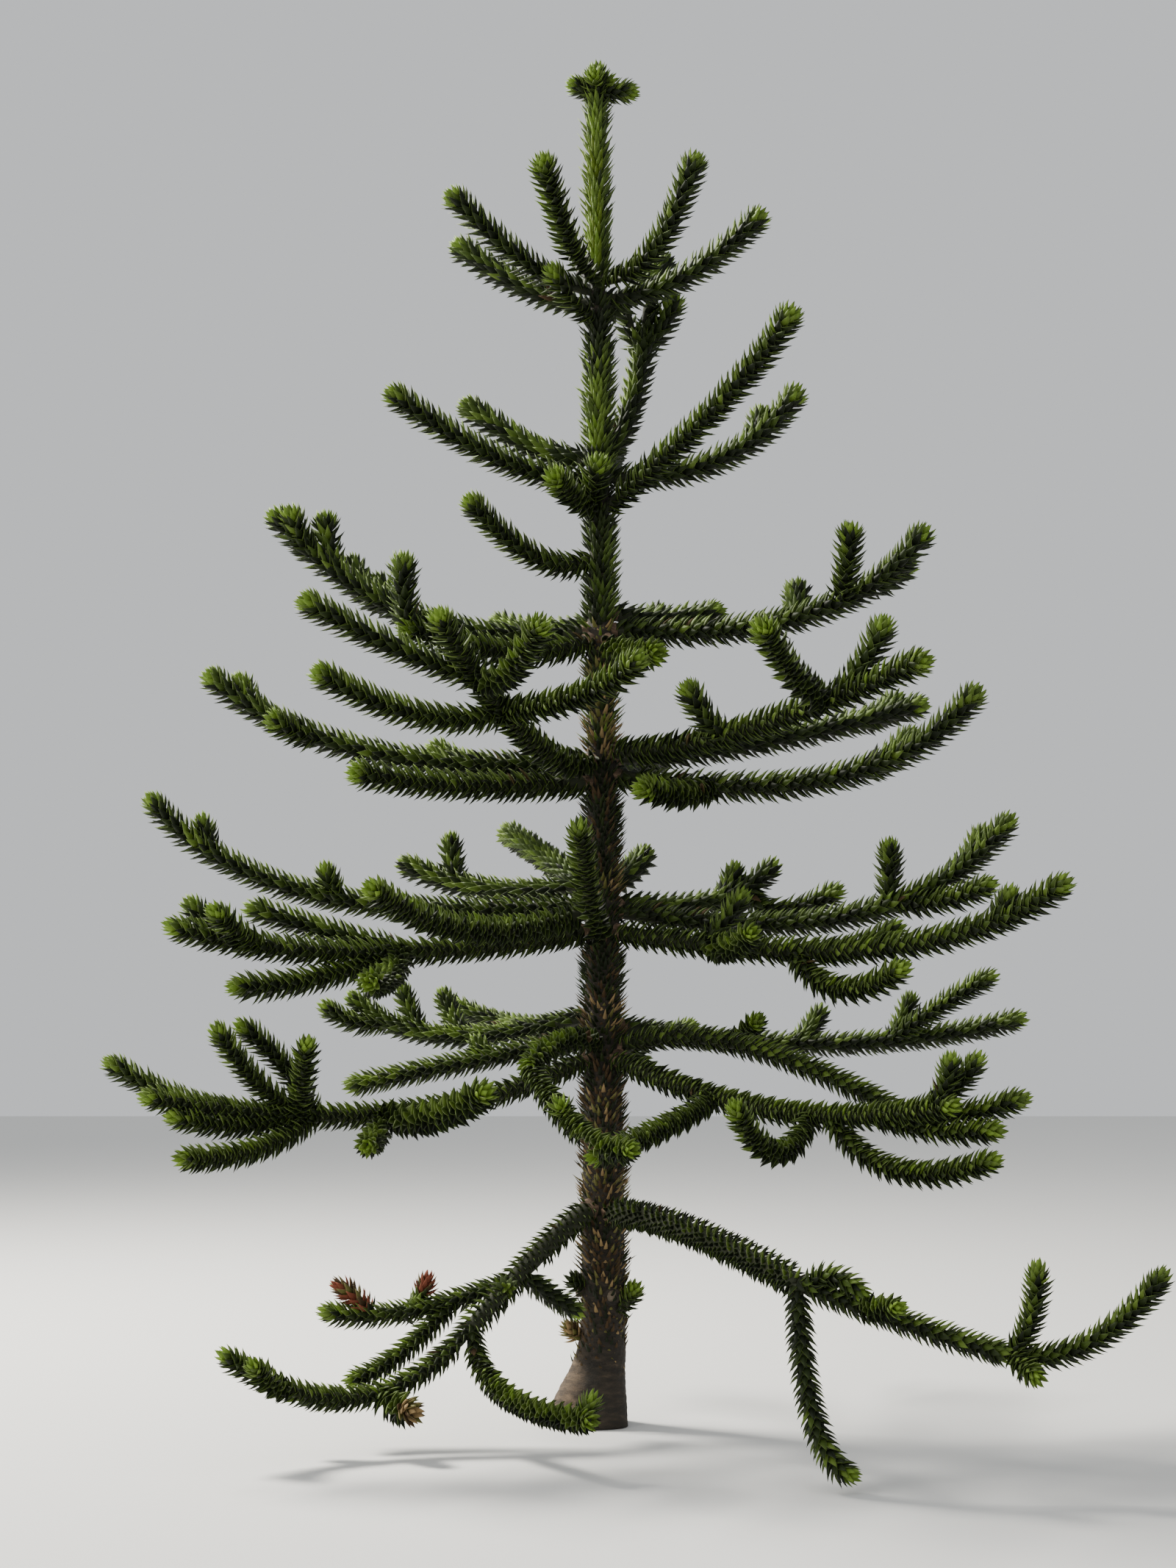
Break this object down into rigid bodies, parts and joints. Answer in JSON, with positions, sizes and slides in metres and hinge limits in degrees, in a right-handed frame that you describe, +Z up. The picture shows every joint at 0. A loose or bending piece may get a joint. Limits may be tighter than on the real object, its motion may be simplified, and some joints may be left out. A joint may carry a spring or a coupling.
{
  "type": "monkey puzzle tree",
  "caption": "Monkey puzzle tree: straight tapering trunk with a root flare, whorls of upcurved boughs clothed in stiff spiky leaves, two low drooping limbs and a crown tuft.",
  "frame": {"origin": "the mount named ground: in the middle of the flat cut under the trunk, at ground level", "axes": "+Z up the trunk, away from the mount's face; +X to the right and +Y away from the viewer, as the picture shows the tree"},
  "size_m": [3.5949, 2.9807, 5.3],
  "materials": {
    "bark": "rough grey-brown bark with diamond leaf scars, tan on the young wood and pinkish at the foot",
    "foliage": "stiff waxy leaves, dark green, with brighter yellow-green rosettes at the shoot tips and a few dead brown leaves low down"
  },
  "bodies": {
    "root": {"crown_tuft": "foliage", "lone_left": "foliage", "trunk": "bark", "whorl1_left_front": "foliage", "whorl1_left_inner": "foliage", "whorl1_left_limb": "bark", "whorl1_left_lower": "foliage", "whorl1_left_upper": "foliage", "whorl1_right_hanging": "foliage", "whorl1_right_limb": "bark", "whorl1_right_outer": "foliage", "whorl2_back": "foliage", "whorl2_back_left": "foliage", "whorl2_back_right": "foliage", "whorl2_back_stub": "foliage", "whorl2_far_left": "foliage", "whorl2_front": "foliage", "whorl2_front_right": "foliage", "whorl2_left": "foliage", "whorl2_left_low": "foliage", "whorl2_right": "foliage", "whorl3_back": "foliage", "whorl3_back_left": "foliage", "whorl3_back_right": "foliage", "whorl3_back_stub": "foliage", "whorl3_front": "foliage", "whorl3_front_left": "foliage", "whorl3_front_right": "foliage", "whorl3_left": "foliage", "whorl3_low_left": "foliage", "whorl3_right": "foliage", "whorl4_back": "foliage", "whorl4_back_left": "foliage", "whorl4_back_right": "foliage", "whorl4_front_left": "foliage", "whorl4_front_right": "foliage", "whorl4_left": "foliage", "whorl4_low_left": "foliage", "whorl4_right": "foliage", "whorl5_back": "foliage", "whorl5_back_left": "foliage", "whorl5_back_right": "foliage", "whorl5_front_left": "foliage", "whorl5_front_stub": "foliage", "whorl5_left": "foliage", "whorl5_right": "foliage", "whorl6_back": "foliage", "whorl6_back_left": "foliage", "whorl6_back_steep": "foliage", "whorl6_front_right": "foliage", "whorl6_front_stub": "foliage", "whorl6_left": "foliage", "whorl6_right": "foliage", "whorl7_back_right": "foliage", "whorl7_front": "foliage", "whorl7_front_stub": "foliage", "whorl7_left_high": "foliage", "whorl7_left_low": "foliage", "whorl7_right": "foliage", "whorl7_right_high": "foliage"}
  },
  "joints": []
}
